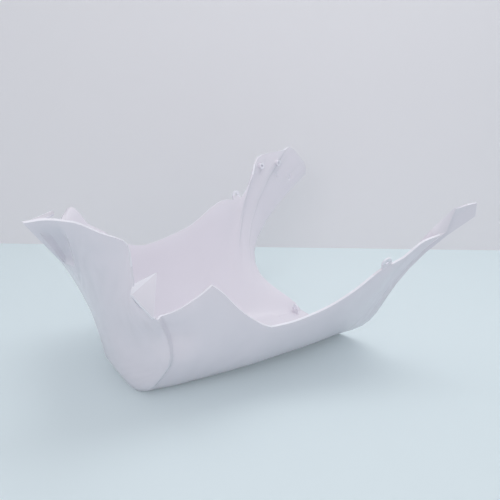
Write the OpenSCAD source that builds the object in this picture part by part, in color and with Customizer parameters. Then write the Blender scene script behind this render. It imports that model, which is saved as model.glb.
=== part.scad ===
// Motorcycle belly pan: one thin moulded shell shaped like the bow of a boat.
// It opens upwards, has a flat keel to stand on, a raised horn at the near front
// corner and two arms that sweep up and back.
// X runs from the bow to the rear, Y from the near side to the far side, Z up.
// The origin is on the underside of the keel, on the centre line.

/* [Overall] */
// Length from the horn tip to the tip of the far arm
pan_l = 610; // [560:5:680]
// Width across the two arm tips
pan_w = 432; // [390:4:480]
// Height from the underside of the keel to the horn tip
pan_h = 280; // [250:2:320]

/* [Shell] */
// Wall thickness of the moulding
wall = 3; // [2:0.25:4]
// Width of the flat keel at its widest point
keel_w = 116; // [96:2:130]
// How far the near wall steps inwards behind the bow panel
step_in = 9; // [4:1:14]
// Depth of the scoop in the horn
scoop_depth = 10; // [4:1:14]

/* [Fixing tabs] */
// Thickness of each tab and flange
tab_t = 2.4; // [1.8:0.2:2.6]
// Width of a screw tab
tab_w = 15; // [13:1:20]
// Height of a screw tab from the wall's edge to the centre of its hole
tab_h = 8; // [8:1:14]
// Diameter of the screw holes
hole_d = 5.2; // [4:0.2:6.6]
// Outer diameter of the bosses inside the far arm
boss_d = 11; // [9:0.5:14]
// How far the bosses stand out of the far arm
boss_h = 6; // [4:0.5:10]
// Length of the two slots in the far arm
slot_l = 10; // [6:1:14]
// Width of the two slots in the far arm
slot_w = 3.4; // [2.4:0.2:5]

/* [Hidden] */

// Grid of the shell: stations along it, and strips up each side and across the keel
stations = 80;
cuts = [each [0:0.5:9], each [10:23], each [23.5:0.5:33], each [34.5:1.5:75], each [75.5:0.5:stations]];
side_strips = 11;
keel_strips = 3;

// Scales that carry the drawn guide lines to the chosen overall size
kx = pan_l / 608.4;
ky = pan_w / 432;
kz = pan_h / 280;
kk = keel_w / 116;

// A guide line is a list of [station, x, y, z]. The foot line is the edge of the
// keel, which climbs the stem at the bow. It is the same on both sides.
foot_line = [
    [0, -241, 6, 188], [6, -224, 8, 156], [12, -209, 12, 120], [17, -200, 16, 92],
    [22, -191, 22, 50], [26, -182, 34, 18], [30, -163, 49, 0], [40, -90, 58, 0],
    [50, -10, 56, 0], [60, 70, 52, 0], [68, 125, 52, 0], [80, 181, 53, 0]];

// Top edge of the near wall: horn, lip, step, peak, dip and arm
near_top = [
    [0, -304.6, 132, 279], [2, -291, 131, 279], [7, -257, 128, 272],
    [11, -227, 125, 255], [15, -195, 123, 235], [16, -194, 123, 227],
    [18, -193, 123, 190], [19, -196, 123, 180], [23, -179, 131, 145],
    [24, -176, 132, 142], [25, -172, 132, 140], [30, -144, 142, 148],
    [33, -129, 148, 158], [36, -115, 152, 169], [37.5, -105, 154, 177.5],
    [39, -97, 154, 171], [45, -61, 154, 131], [50, -17, 154, 102], [54, 6, 157, 103],
    [60, 51, 167, 114], [66, 95, 180, 137], [71, 142, 189, 166],
    [73, 162, 193, 172], [76, 197, 202, 196], [78, 231, 208, 205],
    [78.5, 241, 211, 237], [79.5, 278, 216, 242], [80, 277.5, 216, 223]];

// Lines that the near wall bends towards: a knee above its foot, a shoulder below its top
near_knee = [
    [0, -245, 55, 193], [7, -235, 64, 184], [15, -208, 76, 124], [19, -199, 79, 89],
    [24, -182, 88, 44], [30, -157, 98, 21], [38, -110, 103, 13], [50, -13, 99, 13],
    [60, 67, 97, 13], [70, 128, 104, 20], [76, 185, 122, 36], [80, 224, 140, 43]];
near_shoulder = [
    [0, -266, 97, 224], [7, -247, 104, 225], [15, -206, 112, 168], [19, -199, 114, 123],
    [24, -179, 123, 81], [30, -150, 129, 70], [38, -110, 135, 72], [50, -16, 131, 47],
    [60, 60, 136, 51], [70, 118, 148, 74], [76, 130, 158, 108], [80, 122, 160, 128]];

// Top edge of the far wall: front corner, valley and hand
far_top = [
    [0, -197, 154, 198], [1.5, -181.5, 154, 217], [4, -158, 154, 186], [12, -135, 154, 172],
    [30, -110, 154, 152], [38, -70, 154, 139], [48, 7, 154, 156],
    [58, 86, 155, 196], [61.5, 110, 157, 193], [63, 124, 159, 197], [65, 143, 164, 221],
    [69, 172, 187, 258], [71, 191, 193, 262], [75, 238, 200, 264],
    [77, 257, 208, 268], [79, 303, 215, 223], [80, 302, 213, 210]];

// Knee and shoulder of the far wall
far_knee = [
    [0, -237, 65, 189], [15, -201, 85, 108], [30, -148, 100, 27], [40, -76, 103, 19],
    [48, -15, 102, 17], [58, 48, 101, 17], [65, 75, 101, 25], [70, 105, 97, 30],
    [75, 135, 94, 37], [80, 176, 90, 45]];
far_shoulder = [
    [0, -220, 115, 192], [15, -177, 131, 129], [30, -130, 135, 77], [40, -65, 135, 66],
    [48, -4, 135, 69], [58, 59, 135, 82], [65, 78, 138, 101], [70, 70, 147, 105],
    [75, 50, 149, 85], [80, 16, 150, 55]];

// Value of a guide line at a station, by a cubic through its points
function mono(a, b) = a * b <= 0 ? 0 : 2 * a * b / (a + b);
function slope(g, i, c) = (g[i + 1][c] - g[i][c]) / (g[i + 1][0] - g[i][0]);
function tangent(g, i, c) =
    i <= 0 ? slope(g, 0, c)
    : i >= len(g) - 1 ? slope(g, len(g) - 2, c)
    : mono(slope(g, i - 1, c), slope(g, i, c));
function seat(g, s, i = 0) = i >= len(g) - 2 || s < g[i + 1][0] ? i : seat(g, s, i + 1);
function cubic(g, i, s, c) =
    let (h = g[i + 1][0] - g[i][0], t = (s - g[i][0]) / h)
    (2 * t ^ 3 - 3 * t ^ 2 + 1) * g[i][c] + (t ^ 3 - 2 * t ^ 2 + t) * h * tangent(g, i, c)
    + (3 * t ^ 2 - 2 * t ^ 3) * g[i + 1][c] + (t ^ 3 - t ^ 2) * h * tangent(g, i + 1, c);
function on_line(g, s) = let (i = seat(g, s)) [for (c = [1:3]) cubic(g, i, s, c)];

// The step behind the bow panel: full at the top of the wall, nothing at its foot
crease = 24;
crease_lean = 8;
crease_ramp = 2;
step_fade = 16;
function ease(t) = let (u = min(1, max(0, t))) u * u * (3 - 2 * u);
function step_at(s, t) =
    let (past = s - crease - crease_lean * (1 - t) ^ 1.5)
    step_in * (ease(past / crease_ramp) - ease((past - crease_ramp) / step_fade)) * min(1, 2.5 * t);

// The scoop pressed into the horn, a long dish beside its front edge
scoop_s = 3.4;
scoop_t = 0.7;
function scoop_at(s, t) =
    scoop_depth * ease((2.6 - abs(s - scoop_s)) / 1.2) * ease((0.24 - abs(t - scoop_t)) / 0.1);

// A point of one side: side is -1 near and +1 far, t runs from the foot to the top
function foot(s, side) =
    let (p = on_line(foot_line, s)) [p[0] * kx, side * p[1] * kk, p[2] * kz];
function side_point(s, t, side) =
    let (k = on_line(side < 0 ? near_knee : far_knee, s),
         h = on_line(side < 0 ? near_shoulder : far_shoulder, s),
         e = on_line(side < 0 ? near_top : far_top, s),
         u = 1 - t,
         bent = 3 * t * u ^ 2 * k + 3 * t ^ 2 * u * h + t ^ 3 * e,
         inward = side < 0 ? step_at(s, t) : 0,
         sunk = side < 0 ? scoop_at(s, t) : 0)
    u ^ 3 * foot(s, side)
    + [bent[0] * kx, side * bent[1] * ky, bent[2] * kz] + [sunk / 2, inward + sunk, 0];

// The whole outer face: row j runs from the near top edge, under the keel, to the far one
rows = 2 * side_strips + keel_strips;
function outer(s, j) =
    j <= side_strips ? side_point(s, 1 - j / side_strips, -1)
    : j >= side_strips + keel_strips
        ? side_point(s, (j - side_strips - keel_strips) / side_strips, 1)
    : let (u = (j - side_strips) / keel_strips) foot(s, -1) * (1 - u) + foot(s, 1) * u;

function unit(v) = v / max(norm(v), 1e-9);
function outward(s, j) =
    let (ds = outer(min(stations, s + 0.6), j) - outer(max(0, s - 0.6), j),
         dj = outer(s, min(rows, j + 1)) - outer(s, max(0, j - 1)))
    unit(cross(dj, ds));

module shell() {
    n = rows + 1;
    last = len(cuts) - 1;
    layer = (last + 1) * n;
    skin = [for (s = cuts) for (j = [0:rows]) outer(s, j)];
    lining = [for (s = cuts) for (j = [0:rows]) outer(s, j) - wall * outward(s, j)];
    function at(i, j) = i * n + j;
    outside = [for (i = [0:last - 1]) for (j = [0:rows - 1]) each [
        [at(i, j), at(i + 1, j + 1), at(i, j + 1)], [at(i, j), at(i + 1, j), at(i + 1, j + 1)]]];
    inside = [for (f = outside) [f[2] + layer, f[1] + layer, f[0] + layer]];
    border = concat(
        [for (i = [0:last - 1]) at(i, 0)], [for (j = [0:rows - 1]) at(last, j)],
        [for (i = [last:-1:1]) at(i, rows)], [for (j = [rows:-1:1]) at(0, j)]);
    rim = [for (i = [0:len(border) - 1])
        let (a = border[i], b = border[(i + 1) % len(border)])
        each [[a, b + layer, b], [a, a + layer, b + layer]]];
    polyhedron(concat(skin, lining), concat(outside, inside, rim), convexity = 8);
}

// A place on the wall: its middle at station s and row j, with x along the edge,
// y out of the wall and z up the wall towards its free edge
function wall_frame(s, j, side) =
    let (o = outer(s, j) - wall / 2 * outward(s, j),
         x = unit(outer(min(stations, s + 0.6), j) - outer(max(0, s - 0.6), j)),
         up = outer(s, max(0, min(rows, j + side))) - outer(s, max(0, min(rows, j - side))),
         z = unit(up - (up * x) * x),
         y = cross(z, x))
    [[x[0], y[0], z[0], o[0]], [x[1], y[1], z[1], o[1]], [x[2], y[2], z[2], o[2]]];

// A screw tab with a round head, standing on the wall's free edge, and its hole
bite = 4;
module screw_tab() {
    rotate([90, 0, 0]) linear_extrude(tab_t, center = true) union() {
        translate([-tab_w / 2, -bite]) square([tab_w, tab_h + bite]);
        translate([0, tab_h]) circle(d = tab_w, $fn = 64);
    }
}
module tab_hole() {
    translate([0, 0, tab_h]) rotate([90, 0, 0])
        cylinder(h = 3 * tab_t, d = hole_d, center = true, $fn = 48);
}

// Places of the tabs, as a station on the wall's edge
near_tab_s = 71;
far_tab_s = 61.5;
keel_tab_in = 17;
boss_places = [[71.2, 0.955], [75.1, 0.96]];
slot_places = [[77.5, 0.92], [78.4, 0.945]];
slot_turn = 50;
function far_row(t) = side_strips + keel_strips + t * side_strips;

// Place of the upright tab that stands on the keel, by the foot of the far wall
module keel_tab_place() {
    o = foot(stations, 1);
    translate([o[0] - keel_tab_in, o[1] - tab_w / 2, bite + 0.5]) rotate([0, 0, 90]) children();
}
// Everything but the holes
module moulding() {
    union() {
        shell();
        multmatrix(wall_frame(near_tab_s, 0, -1)) screw_tab();
        multmatrix(wall_frame(far_tab_s, rows, 1)) screw_tab();
        keel_tab_place() screw_tab();
        for (b = boss_places) multmatrix(wall_frame(b[0], far_row(b[1]), 1))
            rotate([90, 0, 0]) cylinder(h = wall / 2 + boss_h, d = boss_d, $fn = 48);
    }
}

module belly_pan() {
    color("whitesmoke") difference() {
        moulding();
        multmatrix(wall_frame(near_tab_s, 0, -1)) tab_hole();
        multmatrix(wall_frame(far_tab_s, rows, 1)) tab_hole();
        keel_tab_place() tab_hole();
        for (b = boss_places) multmatrix(wall_frame(b[0], far_row(b[1]), 1))
            rotate([90, 0, 0]) cylinder(h = 4 * boss_h, d = hole_d, center = true, $fn = 48);
        for (b = slot_places) multmatrix(wall_frame(b[0], far_row(b[1]), 1))
            rotate([90, slot_turn, 0]) linear_extrude(6 * wall, center = true) union() {
                square([slot_l - slot_w, slot_w], center = true);
                for (e = [-1, 1]) translate([e * (slot_l - slot_w) / 2, 0]) circle(d = slot_w, $fn = 32);
            }
    }
}

belly_pan();
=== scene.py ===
# %% [markdown]
# # Motorcycle belly pan
# The real object is one injection-moulded shell of glossy white ABS. The imported CAD
# model already holds its main form, so this lesson dresses it. It copies the CAD mesh,
# reshapes one crease, gives the cut edges their own whiter finish, which is a painted
# highlight, rounds them as a mould would, adds two small flanges and stands the pan on a
# pale stage whose floor carries a painted glow.

# %% Load the imported model
import math
import bpy
from mathutils import Matrix, Vector


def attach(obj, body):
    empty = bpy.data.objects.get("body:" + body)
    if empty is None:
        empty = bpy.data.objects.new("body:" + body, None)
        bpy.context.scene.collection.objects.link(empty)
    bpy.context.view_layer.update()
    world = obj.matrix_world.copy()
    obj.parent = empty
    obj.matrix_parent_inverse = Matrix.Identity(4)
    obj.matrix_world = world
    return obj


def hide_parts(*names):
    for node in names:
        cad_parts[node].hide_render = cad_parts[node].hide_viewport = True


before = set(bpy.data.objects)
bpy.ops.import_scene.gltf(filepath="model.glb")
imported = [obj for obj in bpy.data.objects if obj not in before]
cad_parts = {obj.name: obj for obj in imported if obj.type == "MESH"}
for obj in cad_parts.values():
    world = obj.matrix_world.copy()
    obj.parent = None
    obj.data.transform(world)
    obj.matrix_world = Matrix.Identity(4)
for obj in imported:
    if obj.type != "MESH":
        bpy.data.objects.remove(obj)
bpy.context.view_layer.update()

print("CAD nodes:", sorted(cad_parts))

# %% [markdown]
# ## Small helpers
# A maker works on one thing at a time: pick one object, open its mesh, act on it and
# close it again.

# %% Pick one object, open its mesh and close it
def only(piece):
    bpy.ops.object.select_all(action="DESELECT")
    piece.select_set(True)
    bpy.context.view_layer.objects.active = piece


def open_mesh(piece, pick="SELECT"):
    only(piece)
    bpy.ops.object.mode_set(mode="EDIT")
    if pick:
        bpy.ops.mesh.select_all(action=pick)


def close_mesh():
    bpy.ops.object.mode_set(mode="OBJECT")


# %% Turn an sRGB hex colour into the linear colour that shaders take
def paint(code):
    parts = [int(code[i:i + 2], 16) / 255 for i in (1, 3, 5)]
    linear = [c / 12.92 if c <= 0.04045 else ((c + 0.055) / 1.055) ** 2.4 for c in parts]
    return (*linear, 1.0)


# %% Start a material
def blank_material(name):
    made = bpy.data.materials.new(name)
    made.use_nodes = True
    return made, made.node_tree, made.node_tree.nodes["Principled BSDF"]


# %% Add one node to a material, with its settings and links
def node(tree, kind, settings=None, **links):
    made = tree.nodes.new(kind)
    for name, value in (settings or {}).items():
        if name in made.inputs and not hasattr(made, name):
            made.inputs[name].default_value = value
        else:
            setattr(made, name, value)
    for name, source in links.items():
        tree.links.new(source, made.inputs[name.replace("_", " ")])
    return made


# %% [markdown]
# ## The camera
# The photo was taken from the front left and a little above. The place and the lens
# come from lines of the object that run parallel in real life.

# %% Place the camera
EYE = Vector((-0.417, -0.739, 0.440))
LOOK = Vector((0.5012, 0.8072, -0.3123)).normalized()
LENS_MM = 43.2
SENSOR_MM = 36

camera_data = bpy.data.cameras.new("studio_camera")
camera_data.lens = LENS_MM
camera_data.sensor_width = SENSOR_MM
camera = bpy.data.objects.new("studio_camera", camera_data)
bpy.context.scene.collection.objects.link(camera)
camera.location = EYE
camera.rotation_mode = "QUATERNION"
camera.rotation_quaternion = LOOK.to_track_quat("-Z", "Y")
bpy.context.scene.camera = camera
print("camera at", [round(c, 3) for c in EYE])

# %% [markdown]
# ## The stage
# A pale floor meets a pale back wall in one straight line. The wall can be seen from
# the front only, so views from behind look through it. The floor lies a hair below the
# keel, so that the two flat faces don't flicker. It carries a painted glow that only the
# camera and reflections see: it lightens the floor as if lit from below, and the shadow
# under the keel with it, and casts no light on the pan.

# %% Make the floor and the back wall
WALL_AWAY = 1.362
WALL_TURN = math.radians(2.6)
WALL_HIGH = 3.0
FLOOR_SIZE = 9.0
FLOOR_DROP = 0.0003

ahead = Vector((LOOK.x, LOOK.y, 0)).normalized()
wall_foot = Vector((EYE.x, EYE.y, 0)) + ahead * WALL_AWAY

bpy.ops.mesh.primitive_plane_add(size=FLOOR_SIZE, location=(0, 0, -FLOOR_DROP))
floor = bpy.context.object
floor.name = "tent_floor"

bpy.ops.mesh.primitive_plane_add(size=1)
wall = bpy.context.object
wall.name = "tent_wall"
heading = math.atan2(ahead.y, ahead.x) - math.pi / 2 - WALL_TURN
wall.matrix_world = (
    Matrix.Translation(wall_foot + Vector((0, 0, WALL_HIGH / 2)))
    @ Matrix.Rotation(heading, 4, "Z") @ Matrix.Rotation(math.pi / 2, 4, "X")
    @ Matrix.Diagonal((FLOOR_SIZE, WALL_HIGH, 1, 1)))
print("wall foot at", [round(c, 3) for c in wall_foot])


# %% Paint a glow that only the eye and reflections see
def glow_for_the_eye(tree, shader, colour, strength):
    path = node(tree, "ShaderNodeLightPath")
    direct = node(tree, "ShaderNodeMath", {"operation": "MAXIMUM"})
    seen = node(tree, "ShaderNodeMath", {"operation": "MAXIMUM"})
    level = node(tree, "ShaderNodeMath", {"operation": "MULTIPLY"})
    tree.links.new(path.outputs["Is Camera Ray"], direct.inputs[0])
    tree.links.new(path.outputs["Is Glossy Ray"], direct.inputs[1])
    tree.links.new(direct.outputs[0], seen.inputs[0])
    tree.links.new(path.outputs["Is Transmission Ray"], seen.inputs[1])
    tree.links.new(seen.outputs[0], level.inputs[0])
    level.inputs[1].default_value = strength
    tree.links.new(level.outputs[0], shader.inputs["Emission Strength"])
    shader.inputs["Emission Color"].default_value = paint(colour)


# %% Make a surface clear when it is seen from behind
def clear_from_behind(tree, shader):
    geometry = node(tree, "ShaderNodeNewGeometry")
    clear = node(tree, "ShaderNodeBsdfTransparent")
    mix = node(tree, "ShaderNodeMixShader", None, Fac=geometry.outputs["Backfacing"])
    tree.links.new(shader.outputs[0], mix.inputs[1])
    tree.links.new(clear.outputs[0], mix.inputs[2])
    tree.links.new(mix.outputs[0], tree.nodes["Material Output"].inputs["Surface"])


# %% Give the stage its pale cloth
CLOTH_ROUGHNESS = 0.7
CLOTH_SPECULAR = 0.2


def cloth(name, colour):
    made, tree, shader = blank_material(name)
    shader.inputs["Base Color"].default_value = paint(colour)
    shader.inputs["Roughness"].default_value = CLOTH_ROUGHNESS
    shader.inputs["Specular IOR Level"].default_value = CLOTH_SPECULAR
    return made, tree, shader


FLOOR_COLOUR = "#D6E2E5"
# The floor's glow is painted light: it lightens the floor and the shadow under the keel.
FLOOR_PAINTED_GLOW = 0.14
WALL_COLOUR = "#F8F6F8"

floor_cloth, tree, shader = cloth("white PVC sheet with painted glow", FLOOR_COLOUR)
glow_for_the_eye(tree, shader, FLOOR_COLOUR, FLOOR_PAINTED_GLOW)
floor.data.materials.append(floor_cloth)

wall_cloth, tree, shader = cloth("white tent cloth", WALL_COLOUR)
clear_from_behind(tree, shader)
wall.data.materials.append(wall_cloth)
print("cloths:", floor_cloth.name, "and", wall_cloth.name)

# %% [markdown]
# ## Light
# Product light is spread wide, so there are no hard shadows: a pale world fills from all
# sides, and one wide softbox overhead makes the shadow under the keel. A softbox at the
# front left shapes the bow and its crease.

# %% Fill the stage with light
WORLD_LEVEL = 0.68

world = bpy.data.worlds.new("tent_glow")
bpy.context.scene.world = world
world.use_nodes = True
background = world.node_tree.nodes["Background"]
background.inputs["Color"].default_value = paint("#F0F2F8")
background.inputs["Strength"].default_value = WORLD_LEVEL
print("world level:", WORLD_LEVEL)


# %% Hang the softboxes
def softbox(name, place, aim, size, watts, colour="#FFFFFF"):
    data = bpy.data.lights.new(name, "AREA")
    data.shape = "RECTANGLE"
    data.size, data.size_y = size
    data.energy = watts
    data.color = paint(colour)[:3]
    lamp = bpy.data.objects.new(name, data)
    bpy.context.scene.collection.objects.link(lamp)
    lamp.location = place
    lamp.rotation_mode = "QUATERNION"
    lamp.rotation_quaternion = (Vector(aim) - Vector(place)).to_track_quat("-Z", "Y")
    print(name, "at", place)


softbox("top_softbox", place=(0.5, 0.3, 1.5), aim=(0.3, 0.3, 0),
        size=(1.4, 1.2), watts=10)
softbox("left_softbox", place=(-1.1, -1.1, 0.9), aim=(0, 0, 0.1),
        size=(0.9, 0.9), watts=3.6, colour="#FFF1F1")


# %% [markdown]
# ## Plastic with small flaws of real size
# No plastic is perfectly even. Each finish starts from a noise whose size is given in
# millimetres, which lets the colour wander a little between two close tones.

# %% Lay a noise of a real size and let the colour follow it
MM_PER_M = 1000


def noise(tree, size_mm, detail):
    place = node(tree, "ShaderNodeTexCoord").outputs["Object"]
    settings = {"Scale": MM_PER_M / size_mm, "Detail": detail}
    return node(tree, "ShaderNodeTexNoise", settings, Vector=place).outputs["Fac"]


def wandering_tone(tree, shader, amount, darker, paler):
    tone = node(tree, "ShaderNodeValToRGB", None, Fac=amount)
    tone.color_ramp.elements[0].color = paint(darker)
    tone.color_ramp.elements[1].color = paint(paler)
    tree.links.new(tone.outputs["Color"], shader.inputs["Base Color"])


# %% [markdown]
# ## Glossy moulded ABS
# ABS comes out of a polished mould as glossy as the tool. Its skin still shows a very
# slight orange peel, and slow waves where the thick and thin places cooled unevenly.
# The eye reads that as soft, slightly wandering highlights on a cool white.

# %% Make the shell's plastic
ABS_IOR = 1.53
PEEL_MM = 2.2
WAVE_MM = 70.0

plastic, tree, shader = blank_material("moulded gloss ABS")
shader.inputs["IOR"].default_value = ABS_IOR
wave = noise(tree, WAVE_MM, detail=2.0)
peel = noise(tree, PEEL_MM, detail=1.0)
wandering_tone(tree, shader, wave, "#ECE9F0", "#F0EDF4")
haze = node(tree, "ShaderNodeMapRange",
            {"From Min": 0.3, "From Max": 0.7, "To Min": 0.24, "To Max": 0.27}, Value=wave)
tree.links.new(haze.outputs["Result"], shader.inputs["Roughness"])
slow = node(tree, "ShaderNodeBump", {"Strength": 0.1, "Distance": 0.0008}, Height=wave)
fine = node(tree, "ShaderNodeBump", {"Strength": 0.06, "Distance": 0.0003},
            Height=peel, Normal=slow.outputs["Normal"])
tree.links.new(fine.outputs["Normal"], shader.inputs["Normal"])
print("finish:", plastic.name)

# %% [markdown]
# The edges are where the mould parted and the flash was cut away. The cut leaves bare,
# slightly rougher plastic. Its whiter colour is a painted highlight, which draws the thin
# bright lines along the edges.

# %% Make the edge finish, whose whiter colour is a painted highlight
GRAZE_MM = 0.8
EDGE_ROUGHNESS = 0.42

trimmed_and_highlit, tree, shader = blank_material("trimmed ABS edge with painted highlight")
shader.inputs["IOR"].default_value = ABS_IOR
shader.inputs["Roughness"].default_value = EDGE_ROUGHNESS
graze = noise(tree, GRAZE_MM, detail=2.0)
# These two pale tones are a painted highlight along the edges. The noise only lets them
# wander.
wandering_tone(tree, shader, graze, "#F1F0F8", "#FAFAFF")
scratch = node(tree, "ShaderNodeBump", {"Strength": 0.15, "Distance": 0.0002}, Height=graze)
tree.links.new(scratch.outputs["Normal"], shader.inputs["Normal"])
print("finish:", trimmed_and_highlit.name)


# %% Give a piece both finishes
SKIN = 0
EDGE = 1


def dress(piece):
    piece.data.materials.clear()
    piece.data.materials.append(plastic)
    piece.data.materials.append(trimmed_and_highlit)


# %% [markdown]
# ## The shell
# The CAD mesh is a loose pile of triangles. A copy is welded, and its triangles are
# joined back into the four-sided faces of the loft.

# %% Copy and weld the CAD mesh
WELD = 1e-5
FLAT_PAIR = math.radians(25)
SQUARE_PAIR = math.radians(60)

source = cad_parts["belly_pan"]
shell = bpy.data.objects.new("belly_pan_shell", source.data.copy())
bpy.context.scene.collection.objects.link(shell)
dress(shell)
open_mesh(shell)
bpy.ops.mesh.remove_doubles(threshold=WELD)
bpy.ops.mesh.tris_convert_to_quads(face_threshold=FLAT_PAIR, shape_threshold=SQUARE_PAIR)
close_mesh()
shell.data.polygons.foreach_set("material_index", [SKIN] * len(shell.data.polygons))
print("shell faces:", len(shell.data.polygons))

# %% [markdown]
# Behind the bow panel the wall steps inwards along a crease. On the real pan this line
# bows to the rear halfway down, with a soft hollow behind it. A few vertices are moved
# there with proportional editing, and the wall around them follows softly.

# %% Move a few vertices and let the wall around them follow
def nudge(piece, middle, pick_within, move, reach):
    open_mesh(piece, "DESELECT")
    close_mesh()
    for vertex in piece.data.vertices:
        vertex.select = (vertex.co - Vector(middle)).length < pick_within
    picked = sum(vertex.select for vertex in piece.data.vertices)
    open_mesh(piece, None)
    bpy.ops.transform.translate(
        value=move, use_proportional_edit=True,
        proportional_edit_falloff="SMOOTH", proportional_size=reach)
    close_mesh()
    print("vertices moved:", picked)


# %% Bow the crease to the rear
nudge(shell, middle=(-0.1725, -0.115, 0.082), pick_within=0.014,
      move=(0.022, -0.006, 0), reach=0.075)

# %% Press the hollow behind the crease
nudge(shell, middle=(-0.148, -0.128, 0.108), pick_within=0.013,
      move=(0.002, 0.011, 0), reach=0.036)

# %% Give the cut rim the paler edge finish, a painted highlight
# A rim face has the outside over one square edge and the lining over the other, and
# these two face opposite ways.
SQUARE = math.radians(65)
OPPOSITE = -0.9

faces_at = {}
for face in shell.data.polygons:
    for key in face.edge_keys:
        faces_at.setdefault(key, []).append(face)


def is_rim(face):
    beside = [other.normal for key in face.edge_keys for other in faces_at[key]
              if other != face and other.normal.angle(face.normal, 0) > SQUARE]
    return any(a.dot(b) < OPPOSITE for a in beside for b in beside)


rim = [face for face in shell.data.polygons if is_rim(face)]
for face in rim:
    face.material_index = EDGE
print("rim faces:", len(rim))

# %% [markdown]
# A mould leaves no knife edges. A narrow bevel in the edge finish, whose paler colour is a
# painted highlight, rounds each sharp edge, and the rest is shaded smooth.

# %% Round the sharp edges and smooth the rest
SHARP = math.radians(38)
EDGE_ROUND = 0.0006
ROUND_STEPS = 2


def round_edges(piece):
    only(piece)
    bevel = piece.modifiers.new("edge round", "BEVEL")
    bevel.width = EDGE_ROUND
    bevel.segments = ROUND_STEPS
    bevel.limit_method = "ANGLE"
    bevel.angle_limit = SHARP
    bevel.material = EDGE
    bpy.ops.object.modifier_apply(modifier=bevel.name)
    bpy.ops.object.shade_smooth_by_angle(angle=SHARP)
    print(piece.name, "faces:", len(piece.data.polygons))


round_edges(shell)
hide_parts("belly_pan")
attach(shell, "root")

# %% [markdown]
# ## Two small flanges
# The real moulding has thin flanges that stiffen its corners. One folds inwards from the
# rear edge of the bow panel, as a small shelf with a web under it. The other is a narrow
# strip behind the front edge of the horn. Each starts as a flat three-cornered or
# four-cornered sheet, gets a wall from Solidify, and the same rounded edges as the shell.

# %% Make a flat sheet from its corners
def corner_sheet(name, corners):
    bpy.ops.object.select_all(action="DESELECT")
    bpy.ops.mesh.primitive_circle_add(vertices=len(corners), radius=0.01, fill_type="NGON")
    sheet = bpy.context.object
    sheet.name = name
    for vertex, corner in zip(sheet.data.vertices, corners):
        vertex.co = Vector(corner)
    return sheet


# %% Give a sheet its wall, its rounded edges and its plastic
FLANGE_WALL = 0.0030


def finish_flange(sheet):
    dress(sheet)
    open_mesh(sheet)
    bpy.ops.mesh.remove_doubles(threshold=WELD)
    bpy.ops.mesh.normals_make_consistent(inside=False)
    close_mesh()
    body = sheet.modifiers.new("flange wall", "SOLIDIFY")
    body.thickness = FLANGE_WALL
    body.offset = 0
    body.material_offset_rim = EDGE
    bpy.ops.object.modifier_apply(modifier=body.name)
    round_edges(sheet)
    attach(sheet, "root")


# %% Fold the bow flange
# The shelf's upper faces take the paler edge finish as a painted highlight, where the light
# strikes the shelf.
SHELF_REAR = (-0.1935, -0.1215, 0.1862)
SHELF_FRONT = (-0.1975, -0.1272, 0.1770)
SHELF_TIP = (-0.1520, -0.0950, 0.1850)
WEB_MIDDLE = (-0.1872, -0.1300, 0.1606)
WEB_FOOT = (-0.1750, -0.1335, 0.1434)
SHELF_HIGHLIGHT_FROM = 0.175

bow_flange = corner_sheet("bow_flange", [SHELF_REAR, SHELF_TIP, SHELF_FRONT])
web = corner_sheet("bow_web", [SHELF_FRONT, SHELF_TIP, WEB_FOOT, WEB_MIDDLE])
only(bow_flange)
web.select_set(True)
bpy.ops.object.join()
finish_flange(bow_flange)
for face in bow_flange.data.polygons:
    if face.center.z > SHELF_HIGHLIGHT_FROM:
        face.material_index = EDGE

# %% Add the strip behind the horn's front edge
STRIP = [(-0.3035, -0.1305, 0.2785), (-0.2688, -0.1000, 0.2795),
         (-0.2672, -0.1000, 0.2750), (-0.2900, -0.1295, 0.2775)]

finish_flange(corner_sheet("horn_strip", STRIP))

# %% [markdown]
# ## Finish
# The view transform stays plain, so that a colour renders about as it is written.

# %% Finish
bpy.context.scene.view_settings.view_transform = "Standard"
